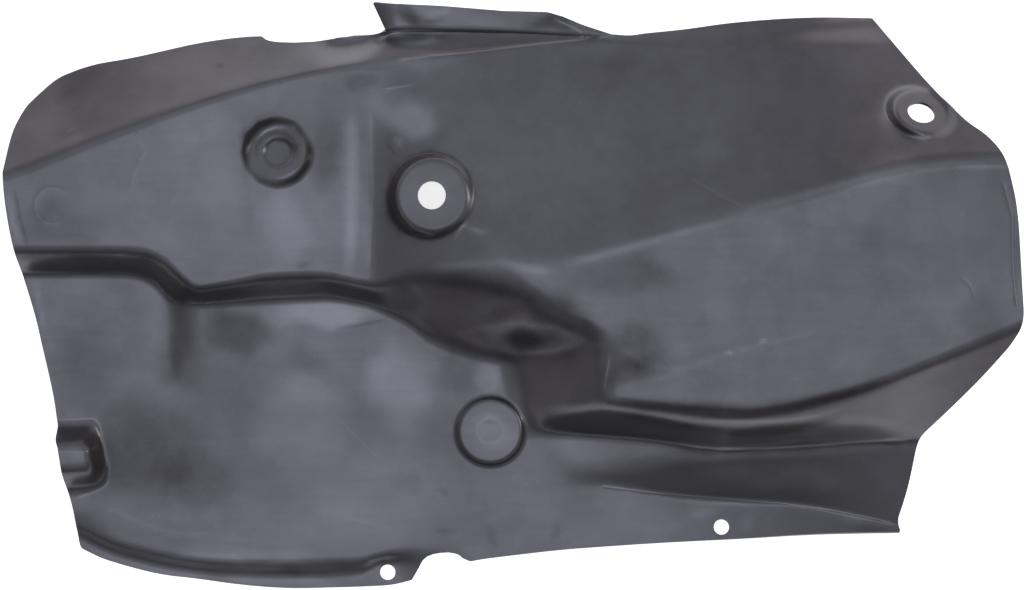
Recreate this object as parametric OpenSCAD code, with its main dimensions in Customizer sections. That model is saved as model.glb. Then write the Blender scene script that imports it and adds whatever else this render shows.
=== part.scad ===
// Wheel arch liner: one vacuum-formed sheet, trimmed along its edge and drilled for its fixings.
// X runs along the liner, Y across it and Z up, the way the sheet was drawn off its mould.

/* [Sheet] */
// Thickness of the plastic sheet
sheet_t = 2.0; // [1.2:0.1:3]
// Length of the trimmed liner
liner_length = 604; // [560:1:640]
// Width of the trimmed liner
liner_width = 350; // [330:1:370]

/* [Levels] */
// Height of the front panel above the ground
panel_z = 38; // [34:1:42]
// Height of the sunk pocket beside the front panel
pocket_z = 17; // [15:0.5:18]
// Height of the inner floor at the foot of the front panel
floor_z = 20; // [18:0.5:24]
// Height of the crown behind the main fixing
crown_z = 60; // [56:1:66]
// How far the ridge climbs from the crown to the rear edge
ridge_rise = 28; // [22:1:32]
// How far the crown falls from the ridge to the rear shoulder
shoulder_drop = 12; // [9:1:15]
// Height of the step down to the corner flange
flange_step = 6; // [4:0.5:8]

/* [Fixing seats] */
// Radius of the main fixing hole
main_hole_r = 8.3; // [6:0.1:10]
// Radius of the flat around the main fixing hole
main_flat_r = 19.5; // [16:0.5:22]
// Radius over the wall of the main fixing seat
main_seat_r = 27; // [25:0.5:30]
// Height of the main fixing seat above the crown
main_seat_h = 5; // [3:0.5:8]
// Radius of the upper fixing hole
upper_hole_r = 8.3; // [6:0.1:10]
// Radius of the flat around the upper fixing hole
upper_flat_r = 14.5; // [12:0.5:17]
// Radius over the wall of the upper fixing seat
upper_seat_r = 22.5; // [20:0.5:26]
// Height of the upper fixing seat above the sloping panel
upper_seat_h = 3; // [2:0.5:6]
// Radius of the two rivet holes in the edge flanges
rivet_hole_r = 4.6; // [3.5:0.1:6]

/* [Pressed cups] */
// Radius over the wall of the cup in the front panel
cup_r = 22.5; // [20:0.5:25]
// Radius of the floor of the cup in the front panel
cup_flat_r = 14; // [12:0.5:17]
// Depth of the recess in the middle of the cup
cup_recess = 2; // [1:0.25:3]
// Radius over the wall of the button in the floor
button_r = 22; // [20:0.5:25]
// Radius of the flat top of the button in the floor
button_flat_r = 18; // [15:0.5:19]
// Height of the button in the floor
button_h = 4; // [2:0.5:6]

/* [Hood] */
// Height of the hood over the duct at the front edge
hood_h = 17; // [12:1:20]

/* [Hidden] */

// The size at which the points below were set out, and the stretch to the size asked for
drawn_length = 604;
drawn_width = 350;
stretch = [liner_length / drawn_length, liner_width / drawn_width];
function spread(p) = [p[0] * stretch[0], p[1] * stretch[1]];

// Rows of the sheet between one guide line and the next, and columns along it
rows_between = [1, 1, 1, 1, 7, 5, 4, 6, 2, 3, 2, 3, 2, 1, 2];
column_steps = [[-309, 3], [-292, 7], [-228, 6], [-180, 9], [-84, 2], [-70, 8], [-6, 9], [58, 21], [309, 0]];
slope_step = 0.5;

// Guide lines from the upper edge to the lower one, each point as [x, y, z, rounding]
ridge_z = crown_z + ridge_rise;
rear_z = ridge_z - shoulder_drop;
flange_z = sheet_t;
lip_z = flange_z + flange_step;

upper_guide = [
    [-309, 108, 4, 8], [-284, 126, 0, 8], [-266, 138, 0.5, 8], [-247, 145, -2, 8], [-207, 152, -2, 8],
    [-168, 159, 0, 8],
    [-139, 157, 7, 8], [-110, 157, 13, 8], [-88, 180, 34, 8], [-42, 178, 34.5, 8], [-5, 175, 33, 8],
    [21, 174, 31, 8], [46, 168, 28, 8], [64, 161, 25, 8], [104, 163, 22, 8], [157, 170, 15, 8],
    [212, 172, -6, 8], [309, 176, 10, 8]];
fold_guide = [
    [-309, 95, 15, 3], [-284, 108, 13, 3], [-266, 117, 14, 3], [-247, 125, 13, 3], [-207, 135, 13, 3],
    [-168, 144, 15, 3],
    [-139, 145, 19, 3], [-110, 147, 24, 3], [-85, 154, 20, 3], [-74, 158, 34, 1], [-38, 158, 32.5, 1],
    [9, 157, 30, 1], [45, 155, 28, 1], [79, 153, 26, 3], [104, 155, 24.8, 3], [157, 160, 20, 3],
    [212, 163, 2.5, 3], [309, 170, 15, 3]];
valley_guide = [
    [-309, 80, 28, 3], [-284, 92, 25.5, 3], [-266, 99.5, 26.5, 3], [-247, 107, 26.5, 3],
    [-207, 120, 26, 3], [-168, 131, 27, 3],
    [-139, 136, 29, 3], [-110, 140, 31.5, 3], [-85, 147, 27, 3], [-74, 156.5, 24.5, 0.6],
    [-60, 156.5, 25.5, 0.6], [-38, 156.5, 27.5, 0.6], [9, 155.8, 28, 0.6], [45, 154, 26.5, 0.6],
    [79, 151, 26.9, 2], [104, 152, 26, 3], [157, 157, 21, 3], [212, 160, 5, 3], [309, 163, 21, 3]];
crease_guide = [
    [-309, 74, 33, 3], [-284, 84.5, 31.7, 3], [-247, 99.5, 32, 3], [-207, 113.5, 32, 3],
    [-168, 125.5, 32.5, 3], [-139, 132, 33.5, 3], [-110, 137, 34.8, 3], [-90, 141.5, 33, 3],
    [-78, 147, 30.5, 2], [-70, 149, 30, 2], [-60, 147.3, 32, 1.5], [-45, 145.3, 33, 1.5],
    [-38, 145.5, 33.3, 1.5], [-5, 148, 32.2, 1], [19, 150.5, 30.5, 1], [43, 152.3, 27.8, 0.8],
    [62, 151, 27.6, 1.5], [79, 149.5, 27.7, 2], [104, 149, 27.5, 3], [157, 153.5, 23, 3],
    [212, 156, 9.5, 3], [309, 156.5, 26, 3]];
shoulder_guide = [
    [-309, 68, panel_z, 4], [-284, 77, panel_z, 4], [-247, 92, panel_z, 4], [-207, 107, panel_z, 4],
    [-168, 120, panel_z, 4], [-139, 128, panel_z, 4], [-110, 134, panel_z, 4], [-76, 138, panel_z, 4],
    [-38, 142, 37, 2], [-22, 144, 36, 2], [19, 149, 32, 1.5], [43, 151, 29, 1.5], [62, 150, 28, 2],
    [104, 146, 29, 3], [157, 150, 25, 3], [212, 152, 14, 3], [309, 150, 31, 3]];
ridge_guide = [
    [-309, 45, panel_z, 12], [-207, 55, panel_z, 12], [-84, 62, panel_z, 12], [-76, 62, panel_z + 2, 12],
    [-60, 58, panel_z + 9, 12], [-40, 50, crown_z - 7, 12], [-14, 30, crown_z - 2, 12],
    [0, 19, crown_z, 10], [20, 22, crown_z + 1, 9], [58, 31, crown_z + 3, 7],
    [97, 41, crown_z + 6, 6], [136, 50, crown_z + 9, 6], [174, 59, crown_z + 13, 5],
    [212, 71.5, crown_z + 17, 5], [241, 78, crown_z + 20, 5], [270, 80, ridge_z - 4, 5],
    [309, 79, ridge_z, 5]];
wall_top_guide = [
    [-309, 25, panel_z, 5], [-228, 25, panel_z, 5], [-217, 24, panel_z, 5], [-208, 20, panel_z, 5],
    [-201, 13, panel_z, 5], [-195, 6, panel_z, 5], [-187, 2, panel_z, 5], [-168, 5, panel_z, 4],
    [-149, 10, panel_z, 4], [-129, 11, panel_z, 4], [-110, 11, panel_z, 4], [-91, 6, panel_z, 4],
    [-81, 5, panel_z, 5], [-67, 12, panel_z + 6, 6], [-49, 13, crown_z - 10, 7],
    [-32, 12, crown_z - 6, 8], [-14, 9, crown_z - 3, 8], [4, 4, crown_z - 1, 8],
    [16, -4, crown_z - 1, 8], [27, -11, crown_z - 1, 7], [39, -16, crown_z, 6], [56, -24, crown_z, 5],
    [97, 8, crown_z + 4, 12], [136, 12, crown_z + 7, 12], [212, 32, crown_z + 14, 12],
    [289, 45, crown_z + 21, 12], [309, 47, crown_z + 22.5, 12]];
wall_foot_guide = [
    [-309, 13, pocket_z - 1, 3], [-229, 13, pocket_z, 3], [-218, 10, pocket_z, 3],
    [-211, 5, pocket_z - 0.5, 3], [-206, -1, pocket_z - 0.5, 3], [-203, -4, pocket_z - 0.3, 3],
    [-190, -5, floor_z + 2.5, 3], [-168, -4, floor_z + 0.5, 3], [-108, -1.5, floor_z, 3],
    [-96, -3, floor_z, 3], [-84, -6, floor_z - 1, 3],
    [-73, -11, floor_z - 1, 3], [-61, -17, floor_z - 2, 3], [-50, -26, floor_z - 3, 4],
    [-37, -32, floor_z - 4, 4], [-16, -38, floor_z - 5, 4], [-5, -39, floor_z - 5, 4],
    [2, -39, floor_z - 2, 4], [12, -39, floor_z + 6, 4], [33, -36, crown_z - 18, 4],
    [52, -32, crown_z - 3, 4], [58, -36, crown_z - 1, 4], [66, -40, crown_z, 8],
    [97, -30, crown_z + 2.5, 12], [136, -28, crown_z + 4.5, 12], [212, -10, crown_z + 10, 12],
    [289, 10, crown_z + 16, 12], [309, 14, crown_z + 17, 12]];
trough_top_guide = [
    [-309, -58, pocket_z - 4, 16], [-206, -59, pocket_z - 2.5, 16], [-190, -60, floor_z - 5.2, 16],
    [-96, -62, floor_z - 2, 16],
    [-40, -64, floor_z - 5, 16], [0, -66, floor_z - 6, 8], [8, -68, floor_z - 4, 5],
    [18, -69, floor_z + 5, 5], [31, -66, floor_z + 19, 5], [51, -62, crown_z - 5, 5],
    [58, -62, crown_z - 1, 4], [81, -65, crown_z, 4], [111, -69, crown_z + 1, 4],
    [133, -71, crown_z + 2, 4], [156, -69, crown_z + 3, 4], [186, -62, crown_z + 4.5, 4],
    [216, -53, crown_z + 6.5, 4], [241, -43, crown_z + 9, 4], [270, -31, crown_z + 12, 4],
    [309, -14, rear_z, 4]];
trough_mid_guide = [
    [-309, -75, pocket_z - 5.5, 8], [-206, -77, pocket_z - 3.5, 8], [-190, -77.5, floor_z - 6.5, 8],
    [-96, -79.5, floor_z - 4.5, 8], [-40, -79.5, floor_z - 6.5, 8], [0, -76, floor_z - 7, 5],
    [8, -75, floor_z - 5.5, 3], [18, -75, floor_z, 3], [31, -72, floor_z + 13, 3],
    [51, -68, crown_z - 10.5, 3], [58, -68, crown_z - 6.5, 3], [81, -71, crown_z - 5.5, 3],
    [111, -75.5, crown_z - 5.5, 3], [133, -77, crown_z - 4, 3], [156, -74.5, crown_z - 2.5, 3],
    [186, -73.5, crown_z - 7.5, 4], [216, -76, crown_z - 18, 4], [241, -78.5, crown_z - 30.5, 4],
    [270, -80, crown_z - 35.5, 4], [309, -79, crown_z - 39, 4]];
trough_foot_guide = [
    [-309, -92, 10, 16], [-206, -95, 13, 16], [-96, -97, 13, 16], [-40, -95, 12, 16], [0, -86, 11.5, 8],
    [13, -82, 12, 3], [30, -82.5, 12.5, 3], [58, -84, 14, 3], [82, -86, 17, 3], [97, -88.5, 19.5, 3],
    [110, -91, 22, 3], [124, -92.5, 24, 3], [143, -92, 25, 5], [173, -91, 24, 6], [204, -88, 22, 6],
    [244, -87, 19, 6], [309, -86, 15, 6]];
tongue_guide = [
    [-309, -112, 9, 16], [-206, -114, 11, 16], [-96, -115, 11.5, 16], [-40, -112, 10.5, 16],
    [0, -106, 10, 16], [36, -106, 10, 6], [61, -107, 11.5, 6], [83, -102, 16, 5], [100, -98, 20, 4],
    [118, -98.5, 23, 3], [143, -97, 24, 3], [173, -96, 23, 3], [204, -93, 21, 3], [244, -92, 18, 3],
    [309, -91, 14, 3]];
strip_guide = [
    [-309, -128, 8, 16], [-206, -134, 10, 16], [-96, -136, 10, 16], [-40, -130, 9.5, 16], [0, -122, 9, 16],
    [36, -113, 9, 4], [55, -112, 7.5, 3], [82, -118, 6, 2], [100, -121, 5, 2],
    [127, -123, 3.5, 2], [158, -125, 2.6, 2], [174, -126, 2.2, 2], [189, -129, 2, 2],
    [211, -134, 2, 2], [230, -138, 2, 2], [309, -157, 2, 2]];
band_top_guide = [
    [-309, -116, lip_z - 1, 2.5], [-258, -139, lip_z - 1, 2.5], [-240, -148, lip_z, 2.5],
    [-216, -154.5, lip_z, 2.5], [-192, -159, lip_z + 0.5, 2.5], [-161, -161, lip_z + 0.5, 2.5],
    [-130, -160.5, lip_z + 0.5, 2.5], [-88, -159, lip_z, 2], [-78, -155.5, lip_z, 1.5],
    [-68, -154.5, lip_z, 2.5],
    [-50, -154, lip_z, 6], [-28, -151, lip_z, 6], [29, -143, lip_z - 0.5, 6], [83, -132, 6, 6],
    [127, -130, 4.2, 6], [174, -132, 4, 6], [200, -137, 3.8, 4], [230, -140.5, 3.2, 4],
    [309, -160, 2, 4]];
band_foot_guide = [
    [-309, -122, flange_z, 2.5], [-258, -145, flange_z, 2.5], [-240, -154, flange_z, 2.5],
    [-208, -162.5, flange_z, 2.5], [-177, -166.5, flange_z, 2.5], [-145, -168, flange_z, 2.5],
    [-114, -168, flange_z, 2.5], [-90, -166.5, flange_z, 2], [-80, -160.3, flange_z, 1.2],
    [-66, -160, flange_z, 2.5],
    [-50, -163, lip_z - 2, 6], [-28, -156, lip_z, 6], [29, -149, lip_z - 0.5, 6], [83, -140, 6, 6],
    [127, -137, 4.9, 6], [174, -138, 6.2, 6], [200, -141, 5.8, 4], [230, -143, 4.4, 4],
    [309, -162, 2, 4]];
lower_guide = [
    [-309, -150, flange_z, 6], [-258, -164, flange_z, 6], [-209, -175, flange_z, 6],
    [-150, -181, flange_z, 6], [-92, -180, flange_z, 6], [-60, -176, flange_z, 6],
    [-28, -166, lip_z - 0.5, 6], [29, -158, lip_z - 0.5, 6], [88, -153, 6.5, 6],
    [127, -151, 6.3, 6], [174, -150, 10.5, 6], [200, -149, 9.5, 6], [233, -148, 7, 6],
    [309, -168, 3, 6]];
drawn_guides = [
    upper_guide, fold_guide, valley_guide, crease_guide, shoulder_guide, ridge_guide, wall_top_guide,
    wall_foot_guide, trough_top_guide, trough_mid_guide, trough_foot_guide, tongue_guide, strip_guide,
    band_top_guide, band_foot_guide, lower_guide];
guides = [for (g = drawn_guides) [for (p = g) [p[0] * stretch[0], p[1] * stretch[1], p[2], p[3]]]];

// Trimmed outline, side by side, as [distance along the side, place across it]
front_tip = [-303, 73];
rear_corner = [216, 166];
rear_toe = [233, -142];
front_corner = [-258, -152];
top_edge = [
    front_tip, [-299, 97], [-292, 112], [-284, 120], [-273, 130], [-253, 138], [-228, 142], [-189, 151],
    [-168, 154], [-155, 155], [-148, 155], [-130, 154], [-111, 153], [-81, 155.5],
    [-75, 157], [0, 156], [59, 155.5], [70, 154.5], [79, 156], [104, 158.5], [126, 162], [157, 165],
    [186, 166.5], rear_corner];
rear_edge = [
    [166, 216], [145, 232], [122, 250], [102, 269], [95, 279], [86, 287], [77, 291], [57, 296],
    [42, 298], [27, 299], [-4, 301], [-12, 301.5], [-20, 300], [-30, 294], [-36, 289], [-49, 278],
    [-67, 261], [-84, 244], [-91, 241.5], [-113, 237.5], [-126, 234], [-135, 231], [-142, 233]];
lower_edge = [
    rear_toe, [216, -142], [177, -143], [138, -146], [88, -148.5], [30, -152.5], [0, -156], [-28, -159.5],
    [-60, -171], [-72, -174], [-92, -175], [-130, -176], [-150, -175], [-169, -173], [-189, -170],
    [-209, -168], [-228, -163.5], [-246, -158], front_corner];
front_edge = [
    [-152, -258], [-149.5, -259.3], [-139, -261], [-127, -263], [-110, -268], [-100, -269.5], [-90, -271],
    [-86, -272.5], [-78, -271.5], [-76, -272], [-61, -274], [-47, -277], [-30, -281], [-16, -284],
    [-2, -288], [14, -293], [26, -296], [39, -299], [58, -302], [73, -303]];
tab_edge = [
    [-70, 150], [-75, 157], [-83, 174], [-42, 172], [-5, 169], [21, 168.5], [30, 166], [42, 161],
    [59, 155.5], [59, 150]];
edge_step = 9;

// Small step in the upper edge, and the notch in the lower one beside the corner flange
step_edge = [for (p = [
    [-149.7, 162], [-149.7, 155], [-147.5, 153], [-145, 152.1], [-140, 151.3], [-130, 150.9],
    [-118, 151.4], [-106, 153], [-106, 162]]) spread(p)];
notch_edge = [for (p = [
    [-66, -184], [-59.7, -171.3], [-56, -163.5], [-53.5, -159], [-51, -156.8], [-47.5, -155.3],
    [-42.5, -154.4], [-38, -154.2], [-34, -154.8], [-31.5, -155.8], [-29.8, -157.5], [-27, -161],
    [-27, -184]]) spread(p)];

// Hood over the duct: its rim and its crest
hood_rim = [for (p = [
    [-290, -74], [-270, -74.5], [-251, -73.5], [-247, -77], [-244, -89], [-240.5, -103], [-240.5, -110],
    [-243.5, -114.5], [-252, -118.5], [-290, -123]]) spread(p)];
hood_crest = [for (p = [[-290, -93], [-254, -93], [-254, -101], [-290, -102]]) spread(p)];

// Gentle swells of the panels, each as [x, y, reach along x, reach along y, height]
drawn_swells = [[-4, 96, 76, 54, 2.5], [13, -18, 34, 15, 3]];
swells = [for (w = drawn_swells) [w[0] * stretch[0], w[1] * stretch[1], w[2], w[3], w[4]]];

// Places of the round features, and the tilt of each as the rise along x and along y
main_seat_at = spread([-47.5, 59]);
upper_seat_at = spread([242, 108]);
cup_at = spread([-139, 84.5]);
button_at = spread([-13, -81.5]);
strip_rivet_at = spread([125.5, -139]);
corner_rivet_at = spread([-74.5, -166.3]);
strip_tilt = [0, -0.1];

// The height of a line whose corner at t = 0 is rounded over a half width r
function ramp(t, r) = t <= -r ? 0 : t >= r ? t : (t + r) * (t + r) / (4 * r);

// The value at t of a line through points [t, ...], read from one column, its corners rounded
function soft(p, col, t) =
    let(
        n = len(p),
        slopes = [for (i = [0:n - 2]) (p[i + 1][col] - p[i][col]) / (p[i + 1][0] - p[i][0])],
        kinks = [for (i = [1:n - 2]) slopes[i] - slopes[i - 1]],
        ramps = [for (i = [1:n - 2])
            ramp(t - p[i][0], 0.5 * min(p[i][0] - p[i - 1][0], p[i + 1][0] - p[i][0]))])
    p[0][col] + slopes[0] * (t - p[0][0]) + kinks * ramps;

// Guide lines cut at x: depth below the upper edge's side, height and rounding of each
function section(x) = [for (g = guides) [-soft(g, 1, x), soft(g, 2, x), soft(g, 3, x)]];

// How far a swell lifts the panel at a point
function swell_at(w, p) =
    let(r = norm([(p[0] - w[0]) / w[2], (p[1] - w[1]) / w[3]])) r >= 1 ? 0 : w[4] * (1 - r * r) * (1 - r * r);

// Height of the plain panels at a point, from the section through it
function panel_height(s, p) =
    let(
        y = p[1],
        n = len(s),
        slopes = [for (i = [0:n - 2]) (s[i + 1][1] - s[i][1]) / (s[i + 1][0] - s[i][0])],
        kinks = [for (i = [1:n - 2]) slopes[i] - slopes[i - 1]],
        ramps = [for (i = [1:n - 2])
            ramp(-y - s[i][0], min(s[i][2], 0.5 * (s[i][0] - s[i - 1][0]), 0.5 * (s[i + 1][0] - s[i][0])))])
    s[0][1] + slopes[0] * (-y - s[0][0]) + kinks * ramps
        + [for (w = swells) swell_at(w, p)] * [for (w = swells) 1];

// A round feature: its centre, height there, tilt, flat radius, wall radius and recess
function seat(at, rise, tilt, flat, wall, recess = 0, recess_r = 0) =
    [at, panel_height(section(at[0]), at) + rise, tilt, flat, wall, recess, recess_r];
seats = [
    seat(main_seat_at, main_seat_h, [0.04, -0.04], main_flat_r, main_seat_r),
    seat(upper_seat_at, upper_seat_h, [-0.25, -0.87], upper_flat_r, upper_seat_r),
    seat(cup_at, 0, [0.12, -0.19], cup_flat_r, cup_r, cup_recess, 9),
    seat(button_at, button_h, [0, 0.03], button_flat_r, button_r)];

// Long way of a seat's plan ellipse, and how much the other way is shortened
function seat_across(s) = [-s[2][1], s[2][0]] / norm(s[2]);
function seat_down(s) = s[2] / norm(s[2]);
function seat_squeeze(s) = 1 / sqrt(1 + norm(s[2]) * norm(s[2]));
function seat_plan(s, r, a) =
    s[0] + r * (cos(a) * seat_across(s) + sin(a) * seat_squeeze(s) * seat_down(s));
function seat_angle(s, p) =
    atan2((p - s[0]) * seat_down(s) / seat_squeeze(s), (p - s[0]) * seat_across(s));
function seat_distance(s, p) =
    norm([(p - s[0]) * seat_down(s) / seat_squeeze(s), (p - s[0]) * seat_across(s)]);

// Smooth change from 1 at t = 0 to 0 at t = 1, straight over its middle
function fade(t) = t <= 0 ? 1 : t >= 1 ? 0 : 1 - (ramp(t - 0.2, 0.2) - ramp(t - 0.8, 0.2)) / 0.6;
function set_in(z, s, p) =
    let(
        d = seat_distance(s, p),
        w = fade((d - s[3]) / (s[4] - s[3])),
        dip = s[5] * fade((d - s[6] + 2) / 3))
    w == 0 ? z : z + w * (s[1] + s[2] * (p - s[0]) - dip - z);

// Distance from a point to a segment, and to the nearest side of an outline
function to_segment(p, a, b) =
    let(f = max(0, min(1, (p - a) * (b - a) / ((b - a) * (b - a))))) norm(p - a - f * (b - a));
function to_line(p, line) = min([for (i = [0:len(line) - 2]) to_segment(p, line[i], line[i + 1])]);
function inside(p, line) =
    let(n = len(line), crossings = [for (i = [0:n - 1])
        let(a = line[i], b = line[(i + 1) % n])
        if ((a[1] > p[1]) != (b[1] > p[1]) && p[0] < a[0] + (p[1] - a[1]) * (b[0] - a[0]) / (b[1] - a[1])) 1])
    len(crossings) % 2 == 1;
function hood_rise(p) =
    p[0] > hood_rim[5][0] || p[1] > hood_rim[2][1] || p[1] < hood_rim[9][1] || !inside(p, hood_rim) ? 0
    : inside(p, hood_crest) ? hood_h
    : let(rim = to_line(p, hood_rim), crest = to_line(p, concat(hood_crest, [hood_crest[0]])))
      hood_h * fade(crest / (rim + crest));

// Height of the sheet's upper face at a point, from the section through it
function height(s, p) =
    let(z0 = panel_height(s, p) + hood_rise(p),
        z1 = set_in(z0, seats[0], p), z2 = set_in(z1, seats[1], p), z3 = set_in(z2, seats[2], p))
    set_in(z3, seats[3], p);

// A point of the upper face and the one under it, square through the sheet
function through(s, s_left, s_right, p) =
    let(
        z = height(s, p),
        right = [slope_step, 0],
        up = [0, slope_step],
        rise_x = (height(s_right, p + right) - height(s_left, p - right)) / (2 * slope_step),
        rise_y = (height(s, p + up) - height(s, p - up)) / (2 * slope_step),
        square = [-rise_x, -rise_y, 1] / norm([rise_x, rise_y, 1]))
    [[p[0], p[1], z], [p[0], p[1], z] - sheet_t * square];
function through_at(p) = through(section(p[0]), section(p[0] - slope_step), section(p[0] + slope_step), p);

// The sheet's own grid: columns at set x, rows shared out between the guide lines
drawn_columns = concat(
    [for (k = [0:len(column_steps) - 2])
        let(a = column_steps[k], b = column_steps[k + 1])
        for (i = [0:a[1] - 1]) a[0] + (b[0] - a[0]) * i / a[1]],
    [column_steps[len(column_steps) - 1][0]]);
columns = [for (x = drawn_columns) x * stretch[0]];
row_places = concat(
    [for (k = [0:len(rows_between) - 1]) for (i = [0:rows_between[k] - 1]) k + i / rows_between[k]],
    [len(rows_between)]);
nx = len(columns);
ny = len(row_places);
function row_y(s, v) =
    let(k = min(floor(v), len(s) - 2), f = v - k) -(s[k][0] + f * (s[k + 1][0] - s[k][0]));
grid = [for (x = columns)
    let(s = section(x), s_left = section(x - slope_step), s_right = section(x + slope_step))
    [for (v = row_places) through(s, s_left, s_right, [x, row_y(s, v)])]];
function place(i, j) = grid[i][j][0];

// Each round feature replaces a block of the grid by rings around its centre
patch_rim = 2.5;
function ring_radii(s) = concat(
    [s[4] + patch_rim, s[4] - 0.1 * (s[4] - s[3]), s[3] + 0.1 * (s[4] - s[3]), s[3] - 1.5],
    s[6] > 0 ? [s[6] + 1, s[6] - 2] : []);
function block(s) =
    let(
        r = s[4] + patch_rim + 1,
        i0 = max([for (i = [0:nx - 1]) if (columns[i] < s[0][0] - r) i]),
        i1 = min([for (i = [0:nx - 1]) if (columns[i] > s[0][0] + r) i]),
        j0 = max([for (j = [0:ny - 1]) if (min([for (i = [i0:i1]) place(i, j)[1]]) > s[0][1] + r) j]),
        j1 = min([for (j = [0:ny - 1]) if (max([for (i = [i0:i1]) place(i, j)[1]]) < s[0][1] - r) j]))
    [i0, i1, j0, j1];
blocks = [for (s = seats) block(s)];
function in_block(i, j, b) = i >= b[0] && i < b[1] && j >= b[2] && j < b[3];
function block_loop(b) = concat(
    [for (i = [b[0]:b[1] - 1]) [i, b[3]]], [for (j = [b[3]:-1:b[2] + 1]) [b[1], j]],
    [for (i = [b[1]:-1:b[0] + 1]) [i, b[2]]], [for (j = [b[2]:b[3] - 1]) [b[0], j]]);
loops = [for (b = blocks) block_loop(b)];
rings = [for (k = [0:len(seats) - 1])
    let(s = seats[k])
    [for (r = ring_radii(s)) for (c = loops[k])
        through_at(seat_plan(s, r, seat_angle(s, [place(c[0], c[1])[0], place(c[0], c[1])[1]])))]];
hubs = [for (s = seats) through_at(s[0])];

// One list of points: the grid column by column, then each feature's rings and its middle
function points_of(side) = concat(
    [for (col = grid) for (cell = col) cell[side]],
    [for (k = [0:len(seats) - 1]) each concat([for (c = rings[k]) c[side]], [hubs[k][side]])]);
function count_before(k) = k == 0 ? nx * ny : count_before(k - 1) + len(rings[k - 1]) + 1;
grid_faces = [for (i = [0:nx - 2]) for (j = [0:ny - 2])
    if (len([for (b = blocks) if (in_block(i, j, b)) 1]) == 0)
        each quad(i * ny + j, (i + 1) * ny + j, (i + 1) * ny + j + 1, i * ny + j + 1)];
function quad(a, b, c, d) = [[a, b, c], [a, c, d]];
function patch_faces(k) =
    let(
        n = len(loops[k]), first = count_before(k), m = len(ring_radii(seats[k])),
        rim = [for (c = loops[k]) c[0] * ny + c[1]],
        levels = concat([rim], [for (q = [0:m - 1]) [for (a = [0:n - 1]) first + q * n + a]]),
        hub = first + m * n)
    concat(
        [for (q = [0:m - 1]) for (a = [0:n - 1])
            each quad(levels[q][a], levels[q + 1][a], levels[q + 1][(a + 1) % n], levels[q][(a + 1) % n])],
        [for (a = [0:n - 1]) [levels[m][a], hub, levels[m][(a + 1) % n]]]);
upper_faces = concat(grid_faces, [for (k = [0:len(seats) - 1]) each patch_faces(k)]);

// The grid's border, joined from the upper face to the lower one
border = concat(
    [for (i = [0:nx - 2]) i * ny], [for (j = [0:ny - 2]) (nx - 1) * ny + j],
    [for (i = [nx - 1:-1:1]) i * ny + ny - 1], [for (j = [ny - 1:-1:1]) j]);
module formed_sheet() {
    upper = points_of(0);
    count = len(upper);
    lower_faces = [for (f = upper_faces) [f[2] + count, f[1] + count, f[0] + count]];
    rim_faces = [for (b = [0:len(border) - 1])
        let(p = border[b], q = border[(b + 1) % len(border)]) each quad(q, p, p + count, q + count)];
    polyhedron(concat(upper, points_of(1)), concat(upper_faces, lower_faces, rim_faces));
}

// One side of the outline as evenly spaced points on its rounded line
function stations(a, b) =
    let(n = ceil(abs(b - a) / edge_step)) [for (i = [0:n - 1]) a + (b - a) * i / n];
function backwards(p) = [for (i = [len(p) - 1:-1:0]) p[i]];
drawn_outline = concat(
    [for (x = stations(front_tip[0], rear_corner[0])) [x, soft(top_edge, 1, x)]],
    [for (y = stations(rear_corner[1], rear_toe[1])) [soft(backwards(rear_edge), 1, y), y]],
    [for (x = stations(rear_toe[0], front_corner[0])) [x, soft(backwards(lower_edge), 1, x)]],
    [for (y = stations(front_corner[1], front_tip[1])) [soft(front_edge, 1, y), y]]);
outline = [for (p = drawn_outline) spread(p)];
tab = [for (p = tab_edge) spread(p)];
module trim_line() {
    linear_extrude(2 * ridge_z + 4 * sheet_t, center = true) {
        polygon(outline);
        polygon(tab);
    }
}

// Middle of the trimmed liner, which is set over the origin
reach_x = [for (p = concat(outline, tab)) p[0]];
reach_y = [for (p = concat(outline, tab)) p[1]];
middle = [(min(reach_x) + max(reach_x)) / 2, (min(reach_y) + max(reach_y)) / 2];

// A hole square through a seat, and a plain one through an edge flange
module bore(at, tilt, r) {
    z = height(section(at[0]), at);
    translate([at[0], at[1], z])
        rotate([0, atan2(norm(tilt), -1) - 180, atan2(tilt[1], tilt[0])])
            cylinder(h = 8 * sheet_t, r = r, center = true, $fn = 64);
}
module notches() {
    linear_extrude(2 * ridge_z, center = true) {
        polygon(step_edge);
        polygon(notch_edge);
    }
}

module arch_liner() {
    color("#4b4b52")
    translate([-middle[0], -middle[1], 0])
    difference() {
        intersection() {
            formed_sheet();
            trim_line();
        }
        notches();
        bore(main_seat_at, seats[0][2], main_hole_r);
        bore(upper_seat_at, seats[1][2], upper_hole_r);
        bore(strip_rivet_at, strip_tilt, rivet_hole_r);
        bore(corner_rivet_at, [0, 0.001], rivet_hole_r);
    }
}

arch_liner();
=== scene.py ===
import math

import bpy
import numpy as np
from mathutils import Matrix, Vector
from mathutils.geometry import delaunay_2d_cdt


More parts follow.
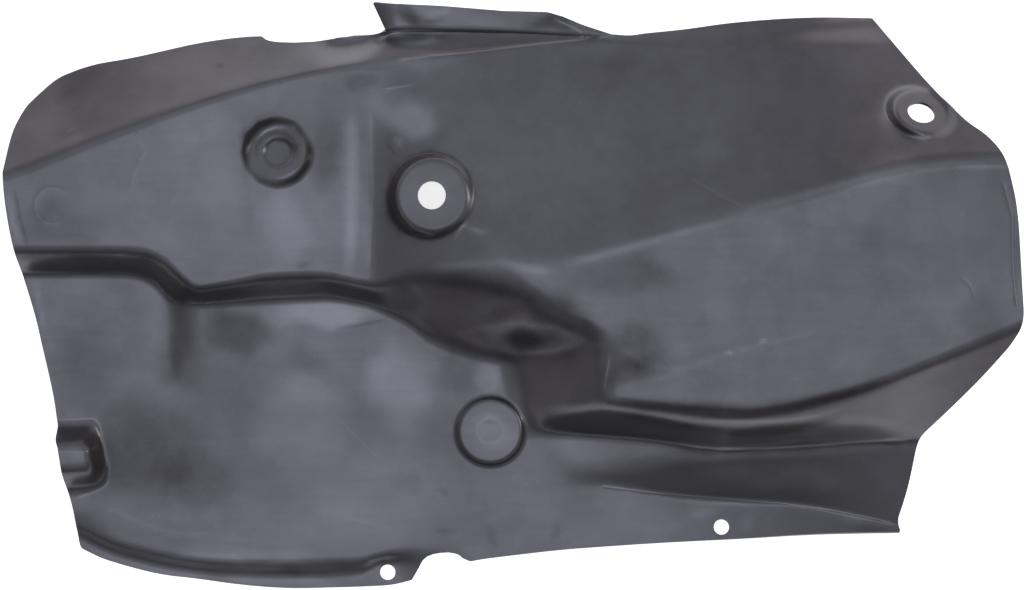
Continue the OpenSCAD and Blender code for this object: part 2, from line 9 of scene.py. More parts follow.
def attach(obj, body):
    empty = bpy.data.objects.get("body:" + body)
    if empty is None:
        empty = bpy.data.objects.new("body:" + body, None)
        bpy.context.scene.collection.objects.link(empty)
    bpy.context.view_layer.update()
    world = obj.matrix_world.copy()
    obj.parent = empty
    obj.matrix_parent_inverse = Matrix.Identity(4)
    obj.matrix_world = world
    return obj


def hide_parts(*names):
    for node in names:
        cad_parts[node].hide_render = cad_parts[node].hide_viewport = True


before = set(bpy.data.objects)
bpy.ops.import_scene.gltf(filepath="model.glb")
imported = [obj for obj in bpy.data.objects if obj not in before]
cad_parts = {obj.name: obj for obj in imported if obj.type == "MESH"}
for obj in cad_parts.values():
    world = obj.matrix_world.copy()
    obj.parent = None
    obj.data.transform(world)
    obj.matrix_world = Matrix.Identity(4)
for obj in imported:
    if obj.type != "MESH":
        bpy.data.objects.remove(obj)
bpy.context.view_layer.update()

# The liner: one thin formed sheet, drawn finely from the guide lines of the part's source,
# with its sheen, marks and scuffs, and painted light and shade laid into its sheen

# A millimetre in metres
MM = 0.001

# Sheet and levels, in millimetres, as the part's source has them
sheet_t = 2.0
panel_z = 38.0
pocket_z = 17.0
floor_z = 20.0
crown_z = 60.0
ridge_rise = 28.0
shoulder_drop = 12.0
flange_step = 6.0
ridge_z = crown_z + ridge_rise
rear_z = ridge_z - shoulder_drop
flange_z = sheet_t
lip_z = flange_z + flange_step

# Fixing holes, seats, cup, button and hood: radii and heights
main_hole_r, main_flat_r, main_seat_r, main_seat_h = 8.3, 19.5, 27.0, 5.0
upper_hole_r, upper_flat_r, upper_seat_r, upper_seat_h = 8.3, 14.5, 22.5, 3.0
rivet_hole_r = 4.6
cup_r, cup_flat_r, cup_recess, cup_recess_r = 22.5, 14.0, 2.0, 9.0
button_r, button_flat_r, button_h = 22.0, 18.0, 4.0
hood_h = 17.0

# Guide lines along the creases and feet of the walls, from the upper edge to the lower one, each
# point as x, y, z and the rounding of the bend there
upper_guide = [
    [-309, 108, 4, 8], [-284, 126, 0, 8], [-266, 138, 0.5, 8], [-247, 145, -2, 8], [-207, 152, -2, 8],
    [-168, 159, 0, 8],
    [-139, 157, 7, 8], [-110, 157, 13, 8], [-88, 180, 34, 8], [-42, 178, 34.5, 8], [-5, 175, 33, 8],
    [21, 174, 31, 8], [46, 168, 28, 8], [64, 161, 25, 8], [104, 163, 22, 8], [157, 170, 15, 8],
    [212, 172, -6, 8], [309, 176, 10, 8]]
fold_guide = [
    [-309, 95, 15, 3], [-284, 108, 13, 3], [-266, 117, 14, 3], [-247, 125, 13, 3], [-207, 135, 13, 3],
    [-168, 144, 15, 3],
    [-139, 145, 19, 3], [-110, 147, 24, 3], [-85, 154, 20, 3], [-74, 158, 34, 1], [-38, 158, 32.5, 1],
    [9, 157, 30, 1], [45, 155, 28, 1], [79, 153, 26, 3], [104, 155, 24.8, 3], [157, 160, 20, 3],
    [212, 163, 2.5, 3], [309, 170, 15, 3]]
valley_guide = [
    [-309, 80, 28, 3], [-284, 92, 25.5, 3], [-266, 99.5, 26.5, 3], [-247, 107, 26.5, 3],
    [-207, 120, 26, 3], [-168, 131, 27, 3],
    [-139, 136, 29, 3], [-110, 140, 31.5, 3], [-85, 147, 27, 3], [-74, 156.5, 24.5, 0.6],
    [-60, 156.5, 25.5, 0.6], [-38, 156.5, 27.5, 0.6], [9, 155.8, 28, 0.6], [45, 154, 26.5, 0.6],
    [79, 151, 26.9, 2], [104, 152, 26, 3], [157, 157, 21, 3], [212, 160, 5, 3], [309, 163, 21, 3]]
crease_guide = [
    [-309, 74, 33, 3], [-284, 84.5, 31.7, 3], [-247, 99.5, 32, 3], [-207, 113.5, 32, 3],
    [-168, 125.5, 32.5, 3], [-139, 132, 33.5, 3], [-110, 137, 34.8, 3], [-90, 141.5, 33, 3],
    [-78, 147, 30.5, 2], [-70, 149, 30, 2], [-60, 147.3, 32, 1.5], [-45, 145.3, 33, 1.5],
    [-38, 145.5, 33.3, 1.5], [-5, 148, 32.2, 1], [19, 150.5, 30.5, 1], [43, 152.3, 27.8, 0.8],
    [62, 151, 27.6, 1.5], [79, 149.5, 27.7, 2], [104, 149, 27.5, 3], [157, 153.5, 23, 3],
    [212, 156, 9.5, 3], [309, 156.5, 26, 3]]
shoulder_guide = [
    [-309, 68, panel_z, 4], [-284, 77, panel_z, 4], [-247, 92, panel_z, 4], [-207, 107, panel_z, 4],
    [-168, 120, panel_z, 4], [-139, 128, panel_z, 4], [-110, 134, panel_z, 4], [-76, 138, panel_z, 4],
    [-38, 142, 37, 2], [-22, 144, 36, 2], [19, 149, 32, 1.5], [43, 151, 29, 1.5], [62, 150, 28, 2],
    [104, 146, 29, 3], [157, 150, 25, 3], [212, 152, 14, 3], [309, 150, 31, 3]]
ridge_guide = [
    [-309, 45, panel_z, 12], [-207, 55, panel_z, 12], [-84, 62, panel_z, 12], [-76, 62, panel_z + 2, 12],
    [-60, 58, panel_z + 9, 12], [-40, 50, crown_z - 7, 12], [-14, 30, crown_z - 2, 12],
    [0, 19, crown_z, 10], [20, 22, crown_z + 1, 9], [58, 31, crown_z + 3, 7],
    [97, 41, crown_z + 6, 6], [136, 50, crown_z + 9, 6], [174, 59, crown_z + 13, 5],
    [212, 71.5, crown_z + 17, 5], [241, 78, crown_z + 20, 5], [270, 80, ridge_z - 4, 5],
    [309, 79, ridge_z, 5]]
wall_top_guide = [
    [-309, 25, panel_z, 5], [-228, 25, panel_z, 5], [-217, 24, panel_z, 5], [-208, 20, panel_z, 5],
    [-201, 13, panel_z, 5], [-195, 6, panel_z, 5], [-187, 2, panel_z, 5], [-168, 5, panel_z, 4],
    [-149, 10, panel_z, 4], [-129, 11, panel_z, 4], [-110, 11, panel_z, 4], [-91, 6, panel_z, 4],
    [-81, 5, panel_z, 5], [-67, 12, panel_z + 6, 6], [-49, 13, crown_z - 10, 7],
    [-32, 12, crown_z - 6, 8], [-14, 9, crown_z - 3, 8], [4, 4, crown_z - 1, 8],
    [16, -4, crown_z - 1, 8], [27, -11, crown_z - 1, 7], [39, -16, crown_z, 6], [56, -24, crown_z, 5],
    [97, 8, crown_z + 4, 12], [136, 12, crown_z + 7, 12], [212, 32, crown_z + 14, 12],
    [289, 45, crown_z + 21, 12], [309, 47, crown_z + 22.5, 12]]
wall_foot_guide = [
    [-309, 13, pocket_z - 1, 3], [-229, 13, pocket_z, 3], [-218, 10, pocket_z, 3],
    [-211, 5, pocket_z - 0.5, 3], [-206, -1, pocket_z - 0.5, 3], [-203, -4, pocket_z - 0.3, 3],
    [-190, -5, floor_z + 2.5, 3], [-168, -4, floor_z + 0.5, 3], [-108, -1.5, floor_z, 3],
    [-96, -3, floor_z, 3], [-84, -6, floor_z - 1, 3],
    [-73, -11, floor_z - 1, 3], [-61, -17, floor_z - 2, 3], [-50, -26, floor_z - 3, 4],
    [-37, -32, floor_z - 4, 4], [-16, -38, floor_z - 5, 4], [-5, -39, floor_z - 5, 4],
    [2, -39, floor_z - 2, 4], [12, -39, floor_z + 6, 4], [33, -36, crown_z - 18, 4],
    [52, -32, crown_z - 3, 4], [58, -36, crown_z - 1, 4], [66, -40, crown_z, 8],
    [97, -30, crown_z + 2.5, 12], [136, -28, crown_z + 4.5, 12], [212, -10, crown_z + 10, 12],
    [289, 10, crown_z + 16, 12], [309, 14, crown_z + 17, 12]]
trough_top_guide = [
    [-309, -58, pocket_z - 4, 16], [-206, -59, pocket_z - 2.5, 16], [-190, -60, floor_z - 5.2, 16],
    [-96, -62, floor_z - 2, 16],
    [-40, -64, floor_z - 5, 16], [0, -66, floor_z - 6, 8], [8, -68, floor_z - 4, 5],
    [18, -69, floor_z + 5, 5], [31, -66, floor_z + 19, 5], [51, -62, crown_z - 5, 5],
    [58, -62, crown_z - 1, 4], [81, -65, crown_z, 4], [111, -69, crown_z + 1, 4],
    [133, -71, crown_z + 2, 4], [156, -69, crown_z + 3, 4], [186, -62, crown_z + 4.5, 4],
    [216, -53, crown_z + 6.5, 4], [241, -43, crown_z + 9, 4], [270, -31, crown_z + 12, 4],
    [309, -14, rear_z, 4]]
trough_mid_guide = [
    [-309, -75, pocket_z - 5.5, 8], [-206, -77, pocket_z - 3.5, 8], [-190, -77.5, floor_z - 6.5, 8],
    [-96, -79.5, floor_z - 4.5, 8], [-40, -79.5, floor_z - 6.5, 8], [0, -76, floor_z - 7, 5],
    [8, -75, floor_z - 5.5, 3], [18, -75, floor_z, 3], [31, -72, floor_z + 13, 3],
    [51, -68, crown_z - 10.5, 3], [58, -68, crown_z - 6.5, 3], [81, -71, crown_z - 5.5, 3],
    [111, -75.5, crown_z - 5.5, 3], [133, -77, crown_z - 4, 3], [156, -74.5, crown_z - 2.5, 3],
    [186, -73.5, crown_z - 7.5, 4], [216, -76, crown_z - 18, 4], [241, -78.5, crown_z - 30.5, 4],
    [270, -80, crown_z - 35.5, 4], [309, -79, crown_z - 39, 4]]
trough_foot_guide = [
    [-309, -92, 10, 16], [-206, -95, 13, 16], [-96, -97, 13, 16], [-40, -95, 12, 16], [0, -86, 11.5, 8],
    [13, -82, 12, 3], [30, -82.5, 12.5, 3], [58, -84, 14, 3], [82, -86, 17, 3], [97, -88.5, 19.5, 3],
    [110, -91, 22, 3], [124, -92.5, 24, 3],
    [143, -92, 25, 5], [173, -91, 24, 6], [204, -88, 22, 6], [244, -87, 19, 6],
    [309, -86, 15, 6]]
tongue_guide = [
    [-309, -112, 9, 16], [-206, -114, 11, 16], [-96, -115, 11.5, 16], [-40, -112, 10.5, 16],
    [0, -106, 10, 16], [36, -106, 10, 6], [61, -107, 11.5, 6], [83, -102, 16, 5], [100, -98, 20, 4],
    [118, -98.5, 23, 3], [143, -97, 24, 3], [173, -96, 23, 3], [204, -93, 21, 3], [244, -92, 18, 3],
    [309, -91, 14, 3]]
strip_guide = [
    [-309, -128, 8, 16], [-206, -134, 10, 16], [-96, -136, 10, 16], [-40, -130, 9.5, 16], [0, -122, 9, 16],
    [36, -113, 9, 4], [55, -112, 7.5, 3], [82, -118, 6, 2], [100, -121, 5, 2],
    [127, -123, 3.5, 2], [158, -125, 2.6, 2], [174, -126, 2.2, 2], [189, -129, 2, 2],
    [211, -134, 2, 2], [230, -138, 2, 2], [309, -157, 2, 2]]
band_top_guide = [
    [-309, -116, lip_z - 1, 2.5], [-258, -139, lip_z - 1, 2.5], [-240, -148, lip_z, 2.5],
    [-216, -154.5, lip_z, 2.5], [-192, -159, lip_z + 0.5, 2.5], [-161, -161, lip_z + 0.5, 2.5],
    [-130, -160.5, lip_z + 0.5, 2.5], [-88, -159, lip_z, 2], [-78, -155.5, lip_z, 1.5],
    [-68, -154.5, lip_z, 2.5],
    [-50, -154, lip_z, 6], [-28, -151, lip_z, 6], [29, -143, lip_z - 0.5, 6], [83, -132, 6, 6],
    [127, -130, 4.2, 6], [174, -132, 4, 6], [200, -137, 3.8, 4], [230, -140.5, 3.2, 4],
    [309, -160, 2, 4]]
band_foot_guide = [
    [-309, -122, flange_z, 2.5], [-258, -145, flange_z, 2.5], [-240, -154, flange_z, 2.5],
    [-208, -162.5, flange_z, 2.5], [-177, -166.5, flange_z, 2.5], [-145, -168, flange_z, 2.5],
    [-114, -168, flange_z, 2.5], [-90, -166.5, flange_z, 2], [-80, -160.3, flange_z, 1.2],
    [-66, -160, flange_z, 2.5],
    [-50, -163, lip_z - 2, 6], [-28, -156, lip_z, 6], [29, -149, lip_z - 0.5, 6], [83, -140, 6, 6],
    [127, -137, 4.9, 6], [174, -138, 6.2, 6], [200, -141, 5.8, 4], [230, -143, 4.4, 4],
    [309, -162, 2, 4]]
lower_guide = [
    [-309, -150, flange_z, 6], [-258, -164, flange_z, 6], [-209, -175, flange_z, 6],
    [-150, -181, flange_z, 6], [-92, -180, flange_z, 6], [-60, -176, flange_z, 6],
    [-28, -166, lip_z - 0.5, 6], [29, -158, lip_z - 0.5, 6], [88, -153, 6.5, 6],
    [127, -151, 6.3, 6], [174, -150, 10.5, 6], [200, -149, 9.5, 6], [233, -148, 7, 6],
    [309, -168, 3, 6]]
guides = [
    upper_guide, fold_guide, valley_guide, crease_guide, shoulder_guide, ridge_guide, wall_top_guide,
    wall_foot_guide, trough_top_guide, trough_mid_guide, trough_foot_guide, tongue_guide, strip_guide,
    band_top_guide, band_foot_guide, lower_guide]

# Trimmed outline, side by side, as distance along the side and place across it
front_tip = [-303, 73]
rear_corner = [216, 166]
rear_toe = [233, -142]
front_corner = [-258, -152]
top_edge = [
    front_tip, [-299, 97], [-292, 112], [-284, 120], [-273, 130], [-253, 138], [-228, 142], [-189, 151],
    [-168, 154], [-155, 155], [-148, 155], [-130, 154], [-111, 153], [-81, 155.5],
    [-75, 157], [0, 156], [59, 155.5], [70, 154.5], [79, 156], [104, 158.5], [126, 162], [157, 165],
    [186, 166.5], rear_corner]
rear_edge = [
    [166, 216], [145, 232], [122, 250], [102, 269], [95, 279], [86, 287], [77, 291], [57, 296],
    [42, 298], [27, 299], [-4, 301], [-12, 301.5], [-20, 300], [-30, 294], [-36, 289], [-49, 278],
    [-67, 261], [-84, 244], [-91, 241.5], [-113, 237.5], [-126, 234], [-135, 231], [-142, 233]]
lower_edge = [
    rear_toe, [216, -142], [177, -143], [138, -146], [88, -148.5], [30, -152.5], [0, -156], [-28, -159.5],
    [-60, -171], [-72, -174], [-92, -175], [-130, -176], [-150, -175], [-169, -173], [-189, -170],
    [-209, -168], [-228, -163.5], [-246, -158], front_corner]
front_edge = [
    [-152, -258], [-149.5, -259.3], [-139, -261], [-127, -263], [-110, -268], [-100, -269.5], [-90, -271],
    [-86, -272.5], [-78, -271.5], [-76, -272], [-61, -274], [-47, -277], [-30, -281], [-16, -284],
    [-2, -288], [14, -293], [26, -296], [39, -299], [58, -302], [73, -303]]
tab_edge = [[-75, 157], [-83, 174], [-42, 172], [-5, 169], [21, 168.5], [30, 166], [42, 161], [59, 155.5]]

# Place on this plan that is the origin of the frame
middle = np.array([-0.844, -0.906])

# Small step in the upper edge, and the notch in the lower one
step_edge = np.array([
    [-149.7, 162], [-149.7, 155], [-147.5, 153], [-145, 152.1], [-140, 151.3], [-130, 150.9],
    [-118, 151.4], [-106, 153], [-106, 162]], float)
notch_edge = np.array([
    [-66, -184], [-59.7, -171.3], [-56, -163.5], [-53.5, -159], [-51, -156.8], [-47.5, -155.3],
    [-42.5, -154.4], [-38, -154.2], [-34, -154.8], [-31.5, -155.8], [-29.8, -157.5], [-27, -161],
    [-27, -184]], float)

# Hood on the front edge: where it starts to rise, and its flat crest
hood_rim = np.array([
    [-290, -74], [-270, -74.5], [-251, -73.5], [-247, -77], [-244, -89], [-240.5, -103], [-240.5, -110],
    [-243.5, -114.5], [-252, -118.5], [-290, -123]], float)
hood_crest = np.array([[-290, -93], [-254, -93], [-254, -101], [-290, -102]], float)

# Gentle swells of the panels: place, reach along x and y, height
swells = [[-4, 96, 76, 54, 2.5], [13, -18, 34, 15, 3]]

# The photograph's width and middle in pixels, what a pixel covers at z = 0, and the camera's height
photo_width = 1024
photo_middle = (511.5, 294.5)
mm_per_pixel = 0.6
camera_height = 4000.0

# Density of the mesh: gaps along the edge, between columns and rows, between the rings of a seat and
# along a fine line, the bunching of rows at the guide lines, and points round a seat and round holes
edge_spacing = 1.3
column_spacing = 2.3
row_spacing = 2.0
ring_spacing = 1.15
line_spacing = 1.6
bunching = 0.35
ring_points, hole_points, rivet_points = 88, 48, 36
# Edges that bend more than this are shaded sharp, in degrees
sharp_angle = 50

# Lines up to this half width get rows of points of their own, and the rest use the plain mesh
fine_line = 1.3
# Lines wider than this are placed to the nearest millimetre, and the rest to half of one
sharp_line = 0.9

# Looks of the plastic
plastic_colour = (0.020, 0.0175, 0.0175, 1)
plastic_ior = 1.9
sheen_tint = (0.92, 0.91, 1.0, 1)
sheen, least_sheen = 0.365, 0.05
roughness, least_roughness = 0.285, 0.277


def ramp(t, r):
    """A line that leaves zero at t = 0, its corner rounded over a half width r."""
    return np.where(t <= -r, 0.0, np.where(t >= r, t, (t + r) ** 2 / (4 * r)))


def fade(t):
    """Smooth change from 1 at t = 0 to 0 at t = 1, straight over its middle."""
    return np.clip(1 - (ramp(t - 0.2, 0.2) - ramp(t - 0.8, 0.2)) / 0.6, 0, 1)


def soft(points, column, t):
    """The value at t of a line through the points, its corners rounded."""
    p = np.array([q[:4] for q in points], float)
    gaps = np.diff(p[:, 0])
    slopes = np.diff(p[:, column]) / gaps
    result = p[0, column] + slopes[0] * (t - p[0, 0])
    for i in range(1, len(p) - 1):
        result = result + (slopes[i] - slopes[i - 1]) * ramp(t - p[i, 0], 0.5 * min(gaps[i - 1], gaps[i]))
    return result


def sections(x):
    """Depth, height and rounding of every guide line at each x."""
    return (
        np.array([-soft(g, 1, x) for g in guides]),
        np.array([soft(g, 2, x) for g in guides]),
        np.array([soft(g, 3, x) for g in guides]))


def panel_height(x, y):
    """Height of the panels, lofted between the guide lines, with the swells on top."""
    depth, level, rounding = sections(x)
    gaps = np.diff(depth, axis=0)
    slopes = np.diff(level, axis=0) / gaps
    result = level[0] + slopes[0] * (-y - depth[0])
    for i in range(1, len(depth) - 1):
        r = np.minimum(rounding[i], 0.5 * np.minimum(gaps[i - 1], gaps[i]))
        result = result + (slopes[i] - slopes[i - 1]) * ramp(-y - depth[i], r)
    for at_x, at_y, reach_x, reach_y, rise in swells:
        r = np.minimum(np.hypot((x - at_x) / reach_x, (y - at_y) / reach_y), 1)
        result = result + rise * (1 - r * r) ** 2
    return result


class Seat:
    """A round feature of the sheet, on its own tilted plane, with a hole or a recess in its middle."""

    def __init__(self, at, rise, tilt, flat, wall, hole=0.0, recess=0.0, recess_r=0.0):
        self.at = np.array(at, float)
        self.tilt = np.array(tilt, float)
        self.flat, self.wall, self.hole = flat, wall, hole
        self.recess, self.recess_r = recess, recess_r
        self.level = float(panel_height(np.array([at[0]]), np.array([at[1]]))[0]) + rise
        steep = np.linalg.norm(self.tilt)
        self.down = self.tilt / steep
        self.across = np.array([-self.down[1], self.down[0]])
        self.squeeze = 1 / math.sqrt(1 + steep * steep)

    def distance(self, x, y):
        """Distance from the middle, measured on the tilted plane."""
        dx, dy = x - self.at[0], y - self.at[1]
        return np.hypot(
            (dx * self.down[0] + dy * self.down[1]) / self.squeeze,
            dx * self.across[0] + dy * self.across[1])

    def ring(self, r, n, turn=0.0):
        """n plan points that lie at r from the middle on the tilted plane."""
        a = 2 * np.pi * (np.arange(n) + turn) / n
        return (self.at + np.outer(r * np.cos(a), self.across)
                + np.outer(r * np.sin(a) * self.squeeze, self.down))

    def press(self, z, x, y):
        """The heights z with this feature pressed into them."""
        d = self.distance(x, y)
        w = fade((d - self.flat) / (self.wall - self.flat))
        dip = self.recess * fade((d - self.recess_r + 2) / 3)
        plane = self.level + self.tilt[0] * (x - self.at[0]) + self.tilt[1] * (y - self.at[1]) - dip
        return z + w * (plane - z)


seats = [
    Seat([-47.5, 59], main_seat_h, [0.04, -0.04], main_flat_r, main_seat_r, main_hole_r),
    Seat([242, 108], upper_seat_h, [-0.25, -0.87], upper_flat_r, upper_seat_r, upper_hole_r),
    Seat([-139, 84.5], 0, [0.12, -0.19], cup_flat_r, cup_r, 0, cup_recess, cup_recess_r),
    Seat([-13, -81.5], button_h, [0, 0.03], button_flat_r, button_r)]
plain_holes = [([125.5, -139], rivet_hole_r), ([-74.5, -166.3], rivet_hole_r)]


def closed(line):
    return np.vstack([line, line[:1]])


def to_line(x, y, line):
    """Distance from each point to the nearest side of a line."""
    best = np.full(x.shape, np.inf)
    for a, b in zip(line[:-1], line[1:]):
        along = b - a
        f = np.clip(((x - a[0]) * along[0] + (y - a[1]) * along[1]) / (along @ along), 0, 1)
        best = np.minimum(best, np.hypot(x - a[0] - f * along[0], y - a[1] - f * along[1]))
    return best


def inside(x, y, loop):
    """True where a point lies inside a closed loop."""
    odd = np.zeros(x.shape, bool)
    for a, b in zip(loop, np.roll(loop, -1, axis=0)):
        if a[1] == b[1]:
            continue
        spans = (a[1] > y) != (b[1] > y)
        odd ^= spans & (x < a[0] + (y - a[1]) * (b[0] - a[0]) / (b[1] - a[1]))
    return odd


def hood_rise(x, y):
    """Rise of the hood, from nothing at its rim to a flat crest."""
    rim = to_line(x, y, hood_rim)
    crest = to_line(x, y, closed(hood_crest))
    rise = hood_h * fade(crest / (rim + crest + 1e-9))
    rise = np.where(inside(x, y, hood_crest), hood_h, rise)
    return np.where(inside(x, y, hood_rim), rise, 0.0)


def height(x, y):
    """Height of the formed side, without its fine marks."""
    z = panel_height(x, y) + hood_rise(x, y)
    for seat in seats:
        z = seat.press(z, x, y)
    return z


def arc(at_x, at_y, r, start=0, end=360, count=13):
    """Pixels along an arc, its angles in degrees, clockwise from the right."""
    a = np.radians(np.linspace(start, end, count))
    return np.stack([at_x + r * np.cos(a), at_y + r * np.sin(a)], axis=1)


def on_sheet(pixels, step):
    """Places on the sheet under pixels of the photograph, to the nearest step."""
    pixels = np.array(pixels, float)
    x = (pixels[:, 0] - photo_middle[0]) * mm_per_pixel
    y = (photo_middle[1] - pixels[:, 1]) * mm_per_pixel
    nearer = 1 - height(x, y) / camera_height
    return np.round(np.stack([x * nearer, y * nearer], axis=1) / step) * step


